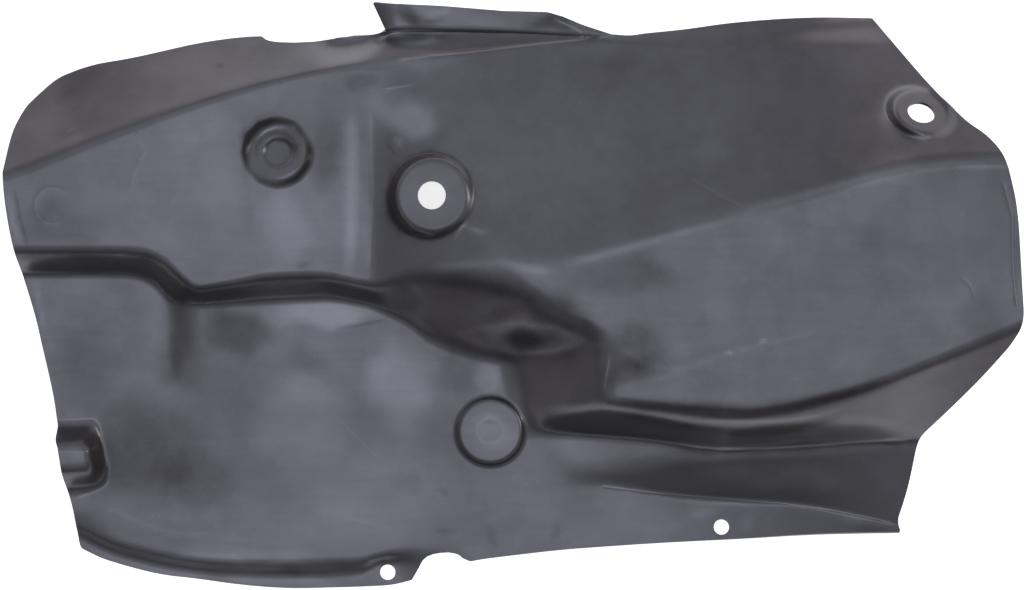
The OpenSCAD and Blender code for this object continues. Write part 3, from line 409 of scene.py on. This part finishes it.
# Lines on the sheet, as read from the photograph: half width and rise in millimetres, how much lighter,
# and pixels along the line. Scratches, scuffs, nicks and the button's ring are pressed or worn into the
# sheet; most other lines are painted highlights and painted shade in its sheen, along creases, rims,
# edges, walls and rings
lines = {
    # Painted highlights along creases, folds, rims, edges and the ridge and beside the main seat, and
    # painted shade along the front edge; the strip's fold and the rear edge also stand up a little
    "crease below the tab": (0.8, 0, 1.3, [(395, 60), (440, 54.5), (480, 50), (530, 44), (590, 37.5)]),
    "fold of the strip": (0.4, 0.2, 0.8, [
        (600, 486), (660, 493), (720, 498), (780, 503), (830, 510), (880, 520), (893, 524)]),
    "end of the middle wall": (0.7, 0, 0.8, [(609.7, 354), (607, 370), (603, 392)]),
    "rim of the hood": (0.6, 0, 0.5, [
        (58, 420), (94, 418), (99, 424), (103, 440), (108.5, 466), (107, 483), (100, 489), (73, 499)]),
    "fold of the tab": (1.4, 0, 0.4, [(388, 28.5), (440, 28), (487, 29.5), (540, 31.5), (586, 35)]),
    "left end of the tab's fold": (1.4, 0, 0.7, [(390, 31), (415, 30.8), (445, 31), (475, 31.4)]),
    "right end of the tab": (0.6, 0, 0.9, [(553, 18), (570, 26), (584, 33)]),
    "rear edge": (0.6, 0.2, 0.5, [(1003, 180), (1012, 215), (1013, 270), (1017, 310)]),
    "front edge, light": (2.0, 0, 0.5, [(5, 185), (12, 220), (22, 250)]),
    "front edge, dark": (1.0, 0, -0.3, [(13, 185), (20, 220), (29, 250)]),
    "edge of the pocket": (1.4, 0, 0.4, [(33, 275), (38, 300), (44, 335)]),
    "ridge": (2.4, 0, 0.35, [
        (560, 266), (700, 226), (780, 202), (850, 182), (900, 170), (950, 164), (1000, 166)]),
    "left end of the ridge": (2.6, 0, 0.55, [(420, 268), (500, 262), (560, 275)]),
    "painted gleam by the main seat": (1.8, 0, 0.4, [(465, 228), (490, 235)]),
    # Painted shade and painted highlights in bands on the front panel
    "painted shade band by the cup": (2.6, 0, -0.14, [(243, 105), (245, 175), (250, 245)]),
    "painted highlight band": (3.4, 0, 0.4, [(350, 100), (351, 190), (348, 280)]),
    "painted shade beside the highlight band": (2.4, 0, -0.2, [(361, 105), (361, 190), (358, 275)]),
    "painted highlight line": (1.0, 0, 0.35, [(370, 110), (371, 190), (369, 270)]),
    # Scuffs, a round mark, nicks and scratches, with painted shadow beside the nick above the main seat
    "scuff of the front panel": (1.0, 0.05, 0.15, [(137, 135), (145, 150), (133, 175), (130, 195)]),
    "round mark of the front panel": (0.8, 0.1, 0.15, arc(52, 205, 18, 60, 330)),
    "nick above the main seat, light": (0.7, 0.1, 0.4, [(398, 156), (405, 145)]),
    "painted shadow of the nick above the main seat": (0.8, 0, -0.35, [(384, 138), (391, 150), (399, 158)]),
    "scratch below the skirt": (0.6, 0.1, 0.5, [(380, 88), (400, 86), (415, 84)]),
    "scratch of the skirt": (0.5, 0, 0.5, [(66, 133), (70, 129), (75, 127)]),
    # Painted highlight in the trough, and painted highlight and painted shade along the top of the tongue
    "gleam of the trough": (1.0, 0, 0.4, [(700, 421), (740, 422), (775, 421.5), (813, 415.5), (845, 408)]),
    "top of the tongue, light": (0.7, 0, 0.5, [(720, 448), (800, 440), (880, 437), (905, 440)]),
    "top of the tongue, dark": (1.0, 0, -0.5, [(720, 452), (800, 444.5), (880, 441.5), (905, 444.5)]),
    "nick of the tongue": (0.5, 0, 0.5, [(693, 455), (700, 460)]),
    "long scuff of the right panel": (1.6, 0.05, 0.16, [
        (610, 390), (660, 378), (690, 365), (730, 352), (780, 340), (820, 330)]),
    "short scuff of the right panel": (1.4, 0.05, 0.12, [(615, 345), (650, 365), (690, 372)]),
    "scratch of the upper panel": (0.5, -0.05, 0.25, [(690, 178), (715, 192), (745, 207)]),
    "scratch by the rear edge": (0.7, 0.1, 0.25, [(960, 275), (970, 285), (975, 300)]),
    "scratch of the floor": (0.8, 0, 0.15, [(330, 410), (355, 435), (380, 460)]),
    "scratch above the notch": (0.8, 0, 0.15, [(340, 515), (370, 523), (400, 530)]),
    "faint lighter line of the floor": (1.5, 0, 0.2, [(100, 505), (160, 530), (260, 540)]),
    "scratch below the step": (0.9, -0.05, -0.3, [(330, 330), (360, 325), (390, 318)]),
    # A ring mark on the button with painted shade inside it, and a painted highlight on the rear corner
    "ring on the button": (1.0, 0.1, 0.2, arc(490, 430, 13.5)),
    "shade in the button's ring": (1.0, 0, -0.4, arc(490, 430, 9, 200, 340, 7)),
    "rear corner": (0.8, 0, 0.5, [(822, 19), (850, 18), (872, 19)]),
    # Painted shade in the step, the middle wall, the trough and the cup, and painted highlights on the
    # step, the hollow's rim and in the cup
    "step, dark": (2.6, 0, -0.78, [
        (8, 258), (53, 255), (120, 254.5), (149, 257), (173, 275), (192, 290), (227, 287), (267, 281),
        (307, 279), (341, 284), (358, 290)]),
    "step, light on the left": (3.6, 0, 1.3, [(30, 262), (120, 260), (150, 268), (175, 288), (195, 296)]),
    "step, light on the right": (3.2, 0, 0.4, [(195, 296), (230, 293), (300, 286), (340, 290), (375, 300)]),
    "top of the middle wall": (5.6, 0, -0.5, [
        (384, 291), (401, 282), (432, 278), (464, 282), (487, 288), (516, 299), (537, 312), (557, 319),
        (578, 327), (598, 336)]),
    "foot of the middle wall": (3.2, 0, -0.35, [
        (399, 302), (422, 316), (439, 332), (460, 343), (487, 355), (516, 360), (557, 356), (598, 346)]),
    "shade above the middle wall": (6.0, 0, -0.8, [(512, 284), (560, 304), (590, 325), (607, 346)]),
    "top of the trough": (3.6, 0, -0.85, [
        (608, 398), (640, 404), (700, 408), (750, 412), (800, 405), (850, 392), (900, 377)]),
    "rim of the wall's hollow": (1.6, 0, 0.4, [
        (458, 333), (503, 323), (557, 327), (583, 340), (557, 350), (520, 354), (487, 344), (458, 333)]),
    "wall of the trough": (3.0, 0, -0.7, [(600, 410), (690, 426), (740, 433), (800, 426), (850, 416)]),
    "floor of the trough": (6.5, 0, -0.7, [(690, 434), (730, 435), (760, 434), (800, 431), (858, 431)]),
    "left end of the trough": (4.0, 0, -0.35, [(596, 424), (640, 422), (690, 430), (722, 437)]),
    "foot of the trough": (1.6, 0, -0.5, [(560, 428), (623, 433), (669, 442), (702, 452)]),
    "left wall of the cup": (3.2, 0, -0.85, [
        (290, 122), (275, 119), (258, 124), (248, 135), (245, 150), (247, 163), (256, 173)]),
    "right wall of the cup": (2.8, 0, -0.85, [
        (301, 135), (308, 148), (306, 163), (296, 177), (280, 183), (270, 181)]),
    "left gleam of the cup": (1.4, 0, 0.9, [(256, 140), (262, 131), (275, 126), (292, 127)]),
    "right gleam of the cup": (0.7, 0, 0.5, [(303, 140), (304, 155), (299, 168), (285, 177), (272, 178)]),
    "shade in the cup": (1.1, 0, -0.6, [
        (266, 160), (265, 148), (273, 140), (285, 139), (294, 146), (294, 156)]),
    # Painted shade round and in the main seat, the cup and the button, painted light on the upper seat's
    # shaded left wall, painted highlights on the upper seat and above the cup, and a scratch by the main
    # seat
    "wall of the main seat": (2.6, 0, -0.7, [
        (385, 184), (388, 212), (400, 228), (420, 236), (440, 234), (458, 224), (468, 208)]),
    "ring round the main seat": (1.6, 0, -0.45, arc(430, 195, 43)),
    "left wall of the upper seat": (4.2, 0, 1.9, [
        (894, 94), (887, 104), (886, 115), (891, 127), (902, 135)]),
    "rim of the upper seat": (1.4, 0, 0.5, [
        (880, 105), (886, 95), (897, 88), (911, 86), (926, 89), (940, 96)]),
    "gleam of the upper seat": (1.2, 0, 1.4, [(905, 133), (923, 138), (941, 134)]),
    "ring round the cup": (1.6, 0, -0.5, arc(276, 152, 33)),
    "ring in the cup": (1.4, 0, -0.45, arc(276, 152, 21, 150, 390, 11)),
    "gleam above the cup": (1.3, 0, 1.4, [(287, 124), (292, 126), (298, 131)]),
    "ring round the button": (1.4, 0, -0.3, arc(490, 430, 33)),
    "scratch by the main seat": (1.0, 0, 0.5, [(453, 242), (463, 226), (489, 233)]),
}
placed_lines = [
    (half_width, rise, lighter, on_sheet(pixels, 1.0 if half_width > sharp_line else 0.5))
    for half_width, rise, lighter, pixels in lines.values()]

# Lighter and darker patches, as read from the photograph in pixels: middle, reach along and
# across, turn in degrees clockwise, and how much lighter. Most are painted light and shade, which
# raise or lower the sheen where the panels look lighter or darker; the small dark blots on the
# tongue and strip and a few tiny spots are smudges and marks of the sheet
patches = {
    "skirt": [
        (375, 54, 100, 20, 4, 0.55), (210, 74, 160, 30, 14, 0.2), (55, 128, 44, 30, -30, 0.25),
        (330, 54, 60, 20, 4, 0.4), (410, 38, 34, 8, 0, 1.6), (400, 34, 20, 5, 0, 1.0),
        (363, 80, 24, 14, 0, -0.35), (218, 66, 3.5, 3, 0, -0.5)],
    "tab": [
        (405, 12, 20, 14, 0, -0.5), (420, 19, 26, 12, 0, -0.5), (440, 11, 18, 6, 0, 0.4),
        (480, 20, 48, 11, 8, 0.25), (552, 24, 34, 14, 0, -0.6)],
    "front panel": [
        (325, 150, 20, 60, 0, -0.3), (283, 230, 36, 50, 0, 0.3), (310, 215, 60, 70, 0, 0.25),
        (355, 200, 20, 100, 0, 0.25), (190, 125, 50, 34, 0, 0.2), (180, 200, 170, 90, 0, 0.2),
        (220, 180, 26, 90, 0, 0.12), (305, 268, 14, 5, -10, -0.25), (52, 205, 16, 16, 0, -0.1),
        (120, 190, 110, 60, 0, -0.1), (60, 225, 60, 30, 0, -0.25)],
    "seats, cup and button": [
        (404, 115, 50, 34, 0, 0.6), (408, 120, 36, 24, 0, 0.6), (393, 141, 8, 5, 0, 0.7),
        (432, 196, 32, 32, 0, 0.1), (276, 152, 26, 26, 0, -0.1), (490, 430, 32, 30, 0, 0.3)],
    "upper panel": [
        (710, 152, 34, 14, 0, 0.2), (850, 50, 60, 45, 0, 0.25), (560, 30, 60, 30, 0, -0.1),
        (640, 62, 60, 30, 0, -0.15), (600, 75, 50, 34, 0, -0.2), (720, 60, 60, 30, 0, -0.05)],
    "right panel": [
        (630, 374, 34, 24, 0, -0.45), (640, 350, 45, 34, 30, -0.35), (760, 235, 32, 36, 0, 0.15),
        (855, 355, 36, 22, 0, 0.15), (860, 260, 90, 60, 0, -0.12), (660, 270, 25, 18, 0, -0.12),
        (720, 310, 28, 18, 0, 0.1), (870, 240, 24, 18, 0, -0.1), (900, 262, 22, 18, 0, 0.1),
        (700, 370, 90, 30, 0, -0.15), (890, 168, 40, 26, 0, 0.15), (880, 172, 44, 22, -15, 0.2),
        (625, 275, 70, 30, 0, -0.3), (980, 320, 34, 34, 0, -0.2), (728, 354, 3, 3, 0, 0.6),
        (760, 337, 3, 3, 0, 0.6)],
    "middle wall": [
        (589, 328, 20, 13, 30, -0.5), (535, 341, 56, 27, 0, -0.65), (524, 338, 44, 10, 8, -0.22),
        (404, 296, 26, 20, 0, -0.45), (480, 290, 70, 24, 0, -0.2), (520, 400, 14, 26, 0, 0.2)],
    "left floor": [
        (325, 313, 75, 20, -2, 0.75), (236, 332, 44, 34, 0, -0.6), (309, 362, 34, 20, 30, -0.25),
        (178, 320, 16, 70, 0, -0.25), (170, 365, 24, 22, 0, -0.25), (140, 450, 85, 75, 0, -0.5),
        (200, 480, 50, 40, 0, -0.25), (100, 345, 60, 60, 0, -0.15), (300, 420, 70, 60, 0, 0.5),
        (400, 385, 46, 62, 0, 0.6), (370, 480, 110, 90, 0, 0.3), (460, 370, 28, 38, 0, -0.3),
        (492, 376, 16, 24, 0, 0.3), (85, 370, 50, 60, 0, -0.2), (110, 330, 40, 30, 0, 0.1),
        (80, 440, 20, 36, 0, 0.3)],
    "tongue and strip": [
        (640, 452, 50, 12, -8, 0.4), (770, 470, 80, 20, 0, 0.2), (585, 445, 48, 22, 0, 0.5),
        (800, 480, 70, 16, 0, 0.35), (705, 452, 20, 10, 0, -0.2), (410, 481, 20, 16, 0, -0.2),
        (445, 490, 10, 6, 30, -0.2), (445, 530, 14, 4, 10, -0.2), (493, 535, 16, 10, 60, -0.18),
        (553, 532, 11, 6, 80, -0.25), (340, 530, 80, 40, 0, 0.2), (640, 520, 60, 30, 0, 0.05),
        (700, 515, 16, 8, 0, 0.25), (745, 525, 10, 14, 0, 0.25), (870, 530, 40, 14, 0, -0.15)],
    "band and flange": [
        (300, 581, 60, 7, 4, 0.2), (300, 572, 24, 8, 0, -0.3), (250, 560, 120, 20, 4, 0.3),
        (200, 572, 90, 10, 4, 0.25), (240, 562, 150, 7, 4, 0.35)],
}
# No patch reaches less than this, in millimetres
least_reach = 2
placed_patches = [
    (on_sheet([(x, y)], 1.0)[0], np.maximum(np.round(np.array(reach) * mm_per_pixel), least_reach),
     math.radians(-turn), lighter)
    for group in patches.values() for x, y, *reach, turn, lighter in group]


def line_share(x, y, line, half_width):
    """How much of a line each point has, from 1 on it to nothing beside it and past its ends."""
    share = np.exp(-(to_line(x, y, line) / half_width) ** 2)
    if np.allclose(line[0], line[-1]):
        return share
    from_end = np.minimum(*(np.hypot(x - end[0], y - end[1]) for end in (line[0], line[-1])))
    return share * (1 - np.exp(-(from_end / (4 * half_width)) ** 2))


def detailed_height(x, y):
    """Height of the formed side with the lines that stand up or lie deeper."""
    z = height(x, y)
    for half_width, rise, _, line in placed_lines:
        if rise:
            z = z + rise * line_share(x, y, line, half_width)
    return z


def painted_light_and_wear_at(x, y):
    """How much lighter or darker than plain the surface looks at each point, through its sheen: mostly
    painted light and shade, with the scratches, scuffs and smudges of the sheet.

    The patches are measured on a gently waved plan, so that none has the edge of a plain ellipse.
    """
    result = np.zeros_like(x)
    wavy_x = x + 1.9 * np.sin(y / 9 + 0.6) + 1.2 * np.sin((x + y) / 4.3)
    wavy_y = y + 1.7 * np.sin(x / 8 + 1.9) + 1.1 * np.sin((x - y) / 5.1)
    for at, reach, turn, lighter in placed_patches:
        c, s = math.cos(turn), math.sin(turn)
        dx, dy = wavy_x - at[0], wavy_y - at[1]
        r = np.hypot((dx * c + dy * s) / reach[0], (dy * c - dx * s) / reach[1])
        result += lighter * fade(1.4 * r - 0.4)
    for half_width, _, lighter, line in placed_lines:
        result += lighter * line_share(x, y, line, half_width)
    return result


def normals(x, y, step=0.25):
    """Upward unit normals of the formed side."""
    rise_x = (detailed_height(x + step, y) - detailed_height(x - step, y)) / (2 * step)
    rise_y = (detailed_height(x, y + step) - detailed_height(x, y - step)) / (2 * step)
    n = np.stack([-rise_x, -rise_y, np.ones_like(x)], axis=1)
    return n / np.linalg.norm(n, axis=1)[:, None]


def run_along(line):
    """Distance along a line at each of its points."""
    return np.concatenate([[0], np.cumsum(np.linalg.norm(np.diff(line, axis=0), axis=1))])


def walk(line, s):
    """Points of a line at the distances s along it."""
    run = run_along(line)
    return np.stack([np.interp(s, run, line[:, 0]), np.interp(s, run, line[:, 1])], axis=1)


def edge_run(edge, start, end, upright=False):
    """Points a millimetre apart on one side of the outline, from start up to end."""
    run = np.arange(start, end, 1.0 if end > start else -1.0)
    across = soft(edge if edge[0][0] < edge[-1][0] else edge[::-1], 1, run)
    return np.stack([across, run] if upright else [run, across], axis=1)


def outline_points():
    """The trimmed edge as one loop of evenly spaced points, clockwise from the front tip."""
    loop = closed(np.vstack([
        edge_run(top_edge, front_tip[0], step_edge[1][0]),
        step_edge[1:-1],
        edge_run(top_edge, step_edge[-2][0] + 1, tab_edge[0][0] - 1),
        tab_edge,
        edge_run(top_edge, tab_edge[-1][0] + 0.5, rear_corner[0]),
        edge_run(rear_edge, rear_corner[1], rear_toe[1], upright=True),
        edge_run(lower_edge, rear_toe[0], notch_edge[-2][0] + 1),
        notch_edge[-3:1:-1],
        edge_run(lower_edge, notch_edge[1][0] - 0.5, front_corner[0]),
        edge_run(front_edge, front_corner[1], front_tip[1], upright=True)]))
    length = run_along(loop)[-1]
    count = int(length / edge_spacing)
    return walk(loop, length * np.arange(count) / count)


def kept_points(found, outline, edge_gap):
    """Those of the points inside the outline that are clear of its edge, the seats and the holes."""
    x, y = found[:, 0], found[:, 1]
    keep = inside(x, y, outline) & (to_line(x, y, closed(outline)) > edge_gap)
    for seat in seats:
        keep &= seat.distance(x, y) > seat.wall + 3
    for at, r in plain_holes:
        keep &= np.hypot(x - at[0], y - at[1]) > r + 1.0
    return found[keep]


def row_points(outline):
    """Points in columns, closer together at each guide line, and none beside a fine line."""
    x = np.arange(-304, 303, column_spacing)
    depth, _, _ = sections(x)
    found = []
    for upper, lower in zip(depth[:-1], depth[1:]):
        gap = lower - upper
        count = np.maximum(1, np.round(gap / row_spacing)).astype(int)
        for n in np.unique(count):
            pick = count == n
            for i in range(n):
                f = i / n
                f = f - bunching * math.sin(2 * math.pi * f) / (2 * math.pi)
                found.append(np.stack([x[pick], -(upper[pick] + f * gap[pick])], axis=1))
    rows = kept_points(np.vstack(found), outline, 0.7 * edge_spacing)
    for half_width, _, _, line in placed_lines:
        if half_width <= fine_line:
            rows = rows[to_line(rows[:, 0], rows[:, 1], line) > 1.5 * half_width + 0.4]
    return rows


def line_rows(outline):
    """Rows of points along and beside every fine line."""
    found = []
    for half_width, _, _, line in placed_lines:
        if half_width > fine_line:
            continue
        length = run_along(line)[-1]
        at = walk(line, np.linspace(0, length, max(2, int(length / line_spacing))))
        along = np.gradient(at, axis=0)
        across = np.stack([-along[:, 1], along[:, 0]], axis=1) / np.linalg.norm(along, axis=1)[:, None]
        found += [at + k * half_width * across for k in (-1.5, -0.75, 0, 0.75, 1.5)]
    return kept_points(np.vstack(found), outline, 0.5)


def seat_points():
    """Rings of points on every seat, closer together round its middle, every other ring turned."""
    found = []
    for seat in seats:
        inner = seat.hole + 1.2 if seat.hole else 1.0
        for q, r in enumerate(np.arange(inner, seat.wall + 2.5, ring_spacing)):
            found.append(seat.ring(r, max(6, int(ring_points * min(1, r / seat.flat))), 0.5 * (q % 2)))
        if not seat.hole:
            found.append(seat.at[None, :])
    return np.vstack(found)


def circle(at, r, n):
    a = 2 * np.pi * np.arange(n) / n
    return np.array(at) + r * np.stack([np.cos(a), np.sin(a)], axis=1)


def plan_mesh():
    """Plan points and the triangles between them, all turning the same way."""
    outline = outline_points()
    loops = [outline]
    loops += [seat.ring(seat.hole, hole_points) for seat in seats if seat.hole]
    loops += [circle(at, r, rivet_points) for at, r in plain_holes]
    points = np.vstack(loops + [row_points(outline), line_rows(outline), seat_points()])
    edges, start = [], 0
    for loop in loops:
        n = len(loop)
        edges += [(start + i, start + (i + 1) % n) for i in range(n)]
        start += n
    out = delaunay_2d_cdt([Vector(p) for p in points], edges, [], 0, 1e-4)
    plan = np.array([v[:] for v in out[0]])
    triangles = np.array([t for t in out[2] if len(t) == 3])
    x, y = plan[triangles].mean(axis=1).T
    keep = inside(x, y, outline)
    for hole in loops[1:]:
        keep &= ~inside(x, y, hole)
    triangles = triangles[keep]
    a, b, c = (plan[triangles[:, i]] for i in range(3))
    turn = (b[:, 0] - a[:, 0]) * (c[:, 1] - a[:, 1]) - (b[:, 1] - a[:, 1]) * (c[:, 0] - a[:, 0])
    triangles[turn < 0] = triangles[turn < 0][:, ::-1]
    return plan, triangles[abs(turn) > 1e-6]


def border_edges(triangles):
    """Edges that only one triangle has, in that triangle's direction."""
    seen = {}
    for t in triangles:
        for i in range(3):
            a, b = int(t[i]), int(t[(i + 1) % 3])
            if (b, a) in seen:
                del seen[(b, a)]
            else:
                seen[(a, b)] = True
    return list(seen)


def build_sheet(name):
    """The closed sheet: the formed side, the underside and the trimmed edges between them."""
    plan, triangles = plan_mesh()
    x, y = plan[:, 0], plan[:, 1]
    upper = np.stack([x - middle[0], y - middle[1], detailed_height(x, y)], axis=1)
    lower = upper - sheet_t * normals(x, y)
    count = len(upper)
    faces = [tuple(map(int, t)) for t in triangles]
    faces += [tuple(int(i) + count for i in t[::-1]) for t in triangles]
    faces += [(b, a, a + count, b + count) for a, b in border_edges(triangles)]
    mesh = bpy.data.meshes.new(name)
    mesh.from_pydata((np.vstack([upper, lower]) * MM).tolist(), [], faces)
    # Painted light and shade, with the wear marks, kept on the points of the formed side for the sheen
    painted_light_and_wear = mesh.attributes.new("painted_light_and_wear", "FLOAT", "POINT")
    painted_light_and_wear.data.foreach_set("value", np.concatenate([painted_light_and_wear_at(x, y), np.zeros(count)]))
    mesh.shade_smooth()
    built = bpy.data.objects.new(name, mesh)
    bpy.context.collection.objects.link(built)
    mesh.set_sharp_from_angle(angle=math.radians(sharp_angle))
    return built


def node(tree, kind, **values):
    n = tree.nodes.new(kind)
    for key, value in values.items():
        setattr(n, key, value)
    return n


def math_node(tree, operation, first, second):
    """A math node fed by sockets or plain numbers; gives its result socket."""
    n = node(tree, "ShaderNodeMath", operation=operation)
    for socket, value in zip(n.inputs, (first, second)):
        if isinstance(value, (int, float)):
            socket.default_value = value
        else:
            tree.links.new(value, socket)
    return n.outputs[0]


def glow(tree, base, share, amount):
    """Adds an amount, where the share says, to a base."""
    return math_node(tree, "ADD", math_node(tree, "MULTIPLY", share, amount), base)


def between(tree, value, low, high, shape="SMOOTHSTEP"):
    """Change from 0 at low to 1 at high, smooth or else LINEAR."""
    n = node(tree, "ShaderNodeMapRange", interpolation_type=shape, clamp=True)
    tree.links.new(value, n.inputs["Value"])
    n.inputs["From Min"].default_value = low
    n.inputs["From Max"].default_value = high
    return n.outputs["Result"]


def noise(tree, place, scale, detail, rough):
    n = node(tree, "ShaderNodeTexNoise")
    n.inputs["Scale"].default_value = scale
    n.inputs["Detail"].default_value = detail
    n.inputs["Roughness"].default_value = rough
    tree.links.new(place, n.inputs["Vector"])
    return n.outputs["Fac"]


def centred(tree, value):
    return math_node(tree, "SUBTRACT", value, 0.5)


def stretched(tree, place, scale):
    n = node(tree, "ShaderNodeVectorMath", operation="MULTIPLY")
    tree.links.new(place, n.inputs[0])
    n.inputs[1].default_value = scale
    return n.outputs[0]


def mix(tree, kind, share, first, second):
    """Goes from first to second with the share; each is a socket or a plain value."""
    n = node(tree, "ShaderNodeMix", data_type=kind)
    tree.links.new(share, n.inputs["Factor"])
    for name, value in (("A", first), ("B", second)):
        if isinstance(value, bpy.types.NodeSocket):
            tree.links.new(value, n.inputs[name])
        else:
            n.inputs[name].default_value = value
    return n.outputs["Result"]


def plastic_material():
    """Black sheet with a soft sheen, drawn and rubbed a little unevenly, with painted light and shade laid
    into that sheen.
    """
    material = bpy.data.materials.new("black_sheet")
    material.use_nodes = True
    tree = material.node_tree
    shader = tree.nodes["Principled BSDF"]
    shader.inputs["Base Color"].default_value = plastic_colour
    shader.inputs["IOR"].default_value = plastic_ior
    shader.inputs["Specular Tint"].default_value = sheen_tint
    place = node(tree, "ShaderNodeTexCoord").outputs["Object"]
    # Painted light and shade with the wear marks, from the sheet's points
    painted_light_and_wear = node(tree, "ShaderNodeAttribute", attribute_name="painted_light_and_wear").outputs["Fac"]
    clouds = between(tree, noise(tree, place, 18, 3, 0.55), 0.40, 0.60)
    blotches = between(tree, noise(tree, place, 55, 3, 0.6), 0.44, 0.58)
    spots = centred(tree, noise(tree, place, 130, 4, 0.6))
    dust = between(tree, noise(tree, place, 900, 1, 0.5), 0.70, 0.80)
    brushed = centred(tree, noise(tree, stretched(tree, place, (20, 260, 60)), 1, 3, 0.6))

    # The sheen starts from the painted light and shade with the wear marks; random clouds, blotches, spots
    # and dust then change it
    level = glow(tree, 1.0, painted_light_and_wear, 1.0)
    for layer, amount in ((clouds, 0.12), (blotches, 0.08), (spots, 0.25), (dust, 0.45)):
        level = glow(tree, level, layer, amount)
    level = math_node(tree, "MAXIMUM", math_node(tree, "MULTIPLY", level, sheen), least_sheen)
    tree.links.new(level, shader.inputs["Specular IOR Level"])

    rough = glow(tree, glow(tree, roughness, spots, 0.10), brushed, 0.08)
    rough = math_node(tree, "MAXIMUM", rough, least_roughness)
    tree.links.new(rough, shader.inputs["Roughness"])

    relief = 0.0
    for scale, rise in ((14, 0.55), (60, 0.05), (700, 0.002)):
        relief = glow(tree, relief, noise(tree, place, scale, 2, 0.5), rise)
    bump = node(tree, "ShaderNodeBump")
    bump.inputs["Strength"].default_value = 1.0
    bump.inputs["Distance"].default_value = MM
    tree.links.new(relief, bump.inputs["Height"])
    tree.links.new(bump.outputs[0], shader.inputs["Normal"])
    return material


def floor_material():
    """Pale floor that shows lighter to the camera and in reflections, and keeps its shadow."""
    material = bpy.data.materials.new("pale_floor")
    material.use_nodes = True
    tree = material.node_tree
    shader = tree.nodes["Principled BSDF"]
    shader.inputs["Base Color"].default_value = (0.86, 0.86, 0.86, 1)
    shader.inputs["Roughness"].default_value = 0.9
    shader.inputs["Specular IOR Level"].default_value = 0.1
    rays = node(tree, "ShaderNodeLightPath").outputs
    seen = math_node(tree, "MAXIMUM", rays["Is Glossy Ray"], rays["Is Transmission Ray"])
    seen = math_node(tree, "MAXIMUM", seen, rays["Is Camera Ray"])
    strength = glow(tree, math_node(tree, "MULTIPLY", seen, 0.55), rays["Is Camera Ray"], 0.22)
    light = node(tree, "ShaderNodeEmission")
    tree.links.new(strength, light.inputs["Strength"])
    add = node(tree, "ShaderNodeAddShader")
    tree.links.new(shader.outputs[0], add.inputs[0])
    tree.links.new(light.outputs[0], add.inputs[1])
    tree.links.new(add.outputs[0], tree.nodes["Material Output"].inputs["Surface"])
    return material


def add_floor():
    reach, drop = 6.0, 0.0005
    mesh = bpy.data.meshes.new("floor")
    mesh.from_pydata(
        [(-reach, -reach, 0), (reach, -reach, 0), (reach, reach, 0), (-reach, reach, 0)], [],
        [(0, 1, 2, 3)])
    floor = bpy.data.objects.new("floor", mesh)
    bpy.context.collection.objects.link(floor)
    floor.location.z = -drop
    mesh.materials.append(floor_material())


def add_camera():
    """Looks straight down, with the photograph's frame at the floor."""
    data = bpy.data.cameras.new("camera")
    data.sensor_width = 36.0
    data.lens = data.sensor_width * camera_height / (photo_width * mm_per_pixel)
    data.clip_end = 50
    camera = bpy.data.objects.new("camera", data)
    camera.location = (-middle[0] * MM, -middle[1] * MM, camera_height * MM)
    bpy.context.collection.objects.link(camera)
    bpy.context.scene.camera = camera


def add_lamp():
    """A square soft lamp to the right, aimed at the sheet."""
    data = bpy.data.lights.new("right_key", "AREA")
    data.shape = "RECTANGLE"
    data.size = data.size_y = 0.5
    data.energy = 8
    data.color = (1, 0.98, 0.95)
    lamp = bpy.data.objects.new("right_key", data)
    lamp.location = Vector((1.6, 0.3, 1.5))
    lamp.rotation_euler = (Vector((0, 0, 0.05)) - lamp.location).to_track_quat("-Z", "Y").to_euler()
    lamp.visible_camera = False
    bpy.context.collection.objects.link(lamp)


def studio_world():
    """A wide soft light overhead, dimmer sides and a pale horizon, white to the camera."""
    world = bpy.data.worlds.new("studio")
    world.use_nodes = True
    tree = world.node_tree
    direction = node(tree, "ShaderNodeTexCoord").outputs["Generated"]
    split = node(tree, "ShaderNodeSeparateXYZ")
    tree.links.new(direction, split.inputs[0])
    along, across, up = split.outputs
    overhead = node(tree, "ShaderNodeVectorMath", operation="DOT_PRODUCT")
    tree.links.new(direction, overhead.inputs[0])
    overhead.inputs[1].default_value = (0.0, -0.08, 0.9968)

    # Parts of the sky, each from 0 to 1 by the direction
    dome = between(tree, up, 0.30, 0.96, "LINEAR")
    core = between(tree, overhead.outputs["Value"], 0.966, 1.0)
    low = between(tree, up, 0.36, 0.0)
    upper_side = between(tree, across, 0.0, 0.5)
    rear_side = between(tree, along, 0.10, 0.45)
    front_side = between(tree, along, -0.35, -0.9)
    strength = glow(tree, glow(tree, 0.25, dome, 0.68), core, 1.72)
    for first, second, amount in (
            (low, upper_side, 1.15), (upper_side, between(tree, up, 0.1, 0.4), 0.30),
            (low, rear_side, 0.60), (low, front_side, 0.45)):
        strength = glow(tree, strength, math_node(tree, "MULTIPLY", first, second), amount)

    seen = node(tree, "ShaderNodeLightPath").outputs["Is Camera Ray"]
    tint = mix(tree, "RGBA", low, (0.92, 0.95, 1.05, 1), (1.0, 0.89, 0.91, 1))
    background = tree.nodes["Background"]
    tree.links.new(mix(tree, "RGBA", seen, tint, (1, 1, 1, 1)), background.inputs["Color"])
    tree.links.new(mix(tree, "FLOAT", seen, strength, 1.0), background.inputs["Strength"])
    return world


sheet = build_sheet("liner_sheet")
sheet.data.materials.append(plastic_material())
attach(sheet, "root")
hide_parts("arch_liner")
add_floor()
add_camera()
add_lamp()
bpy.context.scene.world = studio_world()
bpy.context.scene.view_settings.view_transform = "Standard"
